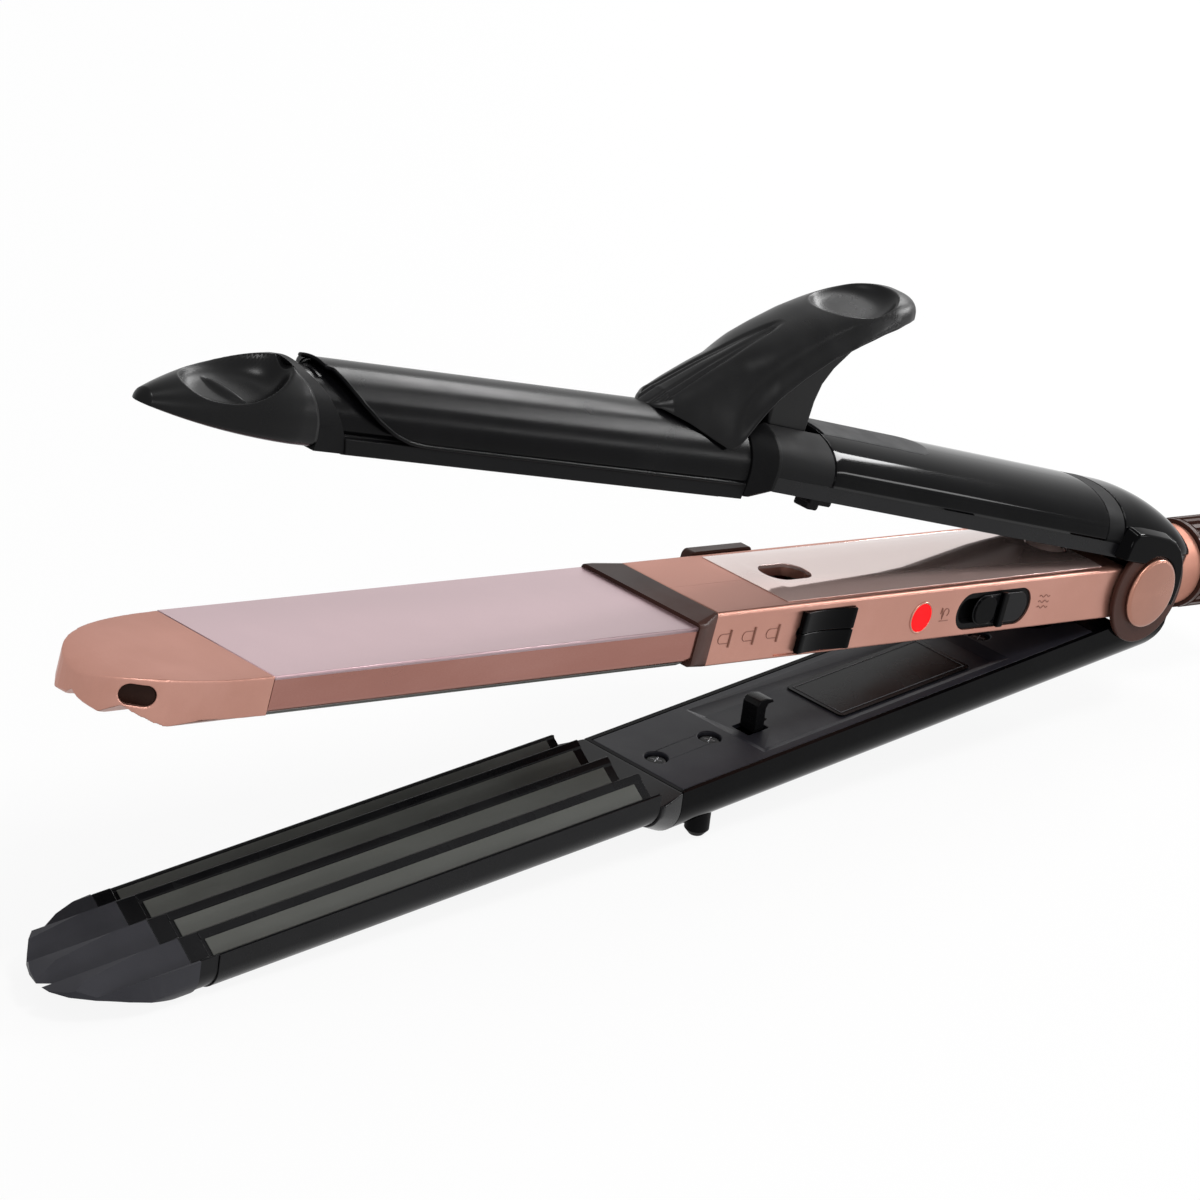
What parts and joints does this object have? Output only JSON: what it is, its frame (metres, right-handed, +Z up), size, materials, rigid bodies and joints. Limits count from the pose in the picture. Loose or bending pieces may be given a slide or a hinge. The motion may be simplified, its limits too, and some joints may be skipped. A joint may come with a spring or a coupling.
{
  "type": "hair multi-styler",
  "caption": "Three-arm hair styler: curling barrel with clamp, flat and wave plates, hinged at the handle end, with lock and function sliders.",
  "frame": {"origin": "centre of the bounding box's base, the styler standing open on its feet and the lower tip", "axes": "+X from the tips to the cord gland, +Y across the arms along the hinge pin, +Z up"},
  "size_m": [0.3318, 0.0312, 0.115],
  "materials": {
    "rose_gold": "rose gold metallic paint, satin",
    "rose_plate": "pink metallic ceramic coat, glossy",
    "black_gloss": "piano black",
    "black_matte": "fine grained black, heat resistant",
    "black_soft": "dark grey satin",
    "soft_rubber": "soft touch, dark grey",
    "barrel_metal": "black ceramic coat, glossy",
    "grey_green": "grey green ceramic coat, satin",
    "dark_brown": "dark brown, satin",
    "steel": "plain steel",
    "heater_ceramic": "white ceramic heater",
    "red_lens": "clear red lens",
    "board": "green circuit board"
  },
  "bodies": {
    "middle_arm": {"middle_tip": "rose_gold", "plate_frame": "rose_gold", "flat_plate_middle": "rose_plate", "wave_plate_middle": "grey_green", "heater_flat": "heater_ceramic", "heater_wave": "heater_ceramic", "heat_collar": "dark_brown", "middle_shell_near": "rose_gold", "middle_shell_far": "rose_gold", "handle_deck": "rose_gold", "stop_domes": "rose_gold", "led_lens": "red_lens", "switch_housing": "black_matte", "circuit_board": "board", "shell_screws": "steel", "hinge_pin": "steel", "hinge_caps": "rose_gold", "hinge_rings": "dark_brown", "torsion_springs": "steel", "tail_ring": "rose_gold"},
    "lock": {"lock_slider_near": "black_matte", "lock_slider_far": "dark_brown", "lock_yoke": "steel"},
    "switch": {"switch_thumb": "black_gloss"},
    "gland": {"cord_gland": "dark_brown"},
    "upper_arm": {"upper_tip": "black_matte", "tip_band": "black_soft", "barrel": "barrel_metal", "barrel_base": "black_matte", "flat_plate_upper": "grey_green", "heater_barrel": "heater_ceramic", "barrel_collar": "black_matte", "slotted_collar": "black_matte", "upper_shell_top": "black_gloss", "upper_shell_bottom": "black_matte", "soft_pad": "soft_rubber", "upper_band": "black_soft", "upper_hook": "black_matte", "upper_screws": "steel", "clamp_pin": "steel", "clamp_spring": "steel"},
    "clamp": {"curl_clamp": "barrel_metal", "clamp_lever": "black_matte"},
    "lower_arm": {"lower_tip": "black_matte", "tip_insert": "black_soft", "wave_plate_lower": "grey_green", "lower_plate_frame": "black_matte", "heater_lower": "heater_ceramic", "lower_collar": "black_matte", "lower_shell": "black_gloss", "inner_panel": "black_soft", "label_plate": "black_soft", "lower_hook": "black_matte", "feet": "black_matte", "lower_screws": "steel"}
  },
  "joints": [
    {"name": "upper_arm_hinge", "type": "hinge", "parent": "middle_arm", "child": "upper_arm", "pos_m": [0.1194, 0, 0.02981], "axis": [0, 1, 0], "range_deg": [-8.6, 0], "stiffness_Nm_per_rad": 0.6, "springref_deg": 34.38},
    {"name": "lower_arm_hinge", "type": "hinge", "parent": "middle_arm", "child": "lower_arm", "pos_m": [0.1194, 0, 0.02981], "axis": [0, 1, 0], "range_deg": [0, 10.3], "stiffness_Nm_per_rad": 1.2, "springref_deg": -34.38},
    {"name": "clamp_hinge", "type": "hinge", "parent": "upper_arm", "child": "clamp", "pos_m": [0.00613, 0, 0.07549], "axis": [0, 1, 0], "range_deg": [0, 18], "stiffness_Nm_per_rad": 0.25, "springref_deg": -17.19},
    {"name": "lock_slide", "type": "slide", "parent": "middle_arm", "child": "lock", "axis": [0.9939, 0, -0.1107], "range_m": [-0.006, 0]},
    {"name": "switch_slide", "type": "slide", "parent": "middle_arm", "child": "switch", "axis": [0.9939, 0, -0.1107], "range_m": [-0.005, 0]},
    {"name": "gland_swivel", "type": "hinge", "parent": "middle_arm", "child": "gland", "pos_m": [0.14907, 0, 0.02519], "axis": [0.9939, 0, -0.1107], "continuous": true}
  ]
}
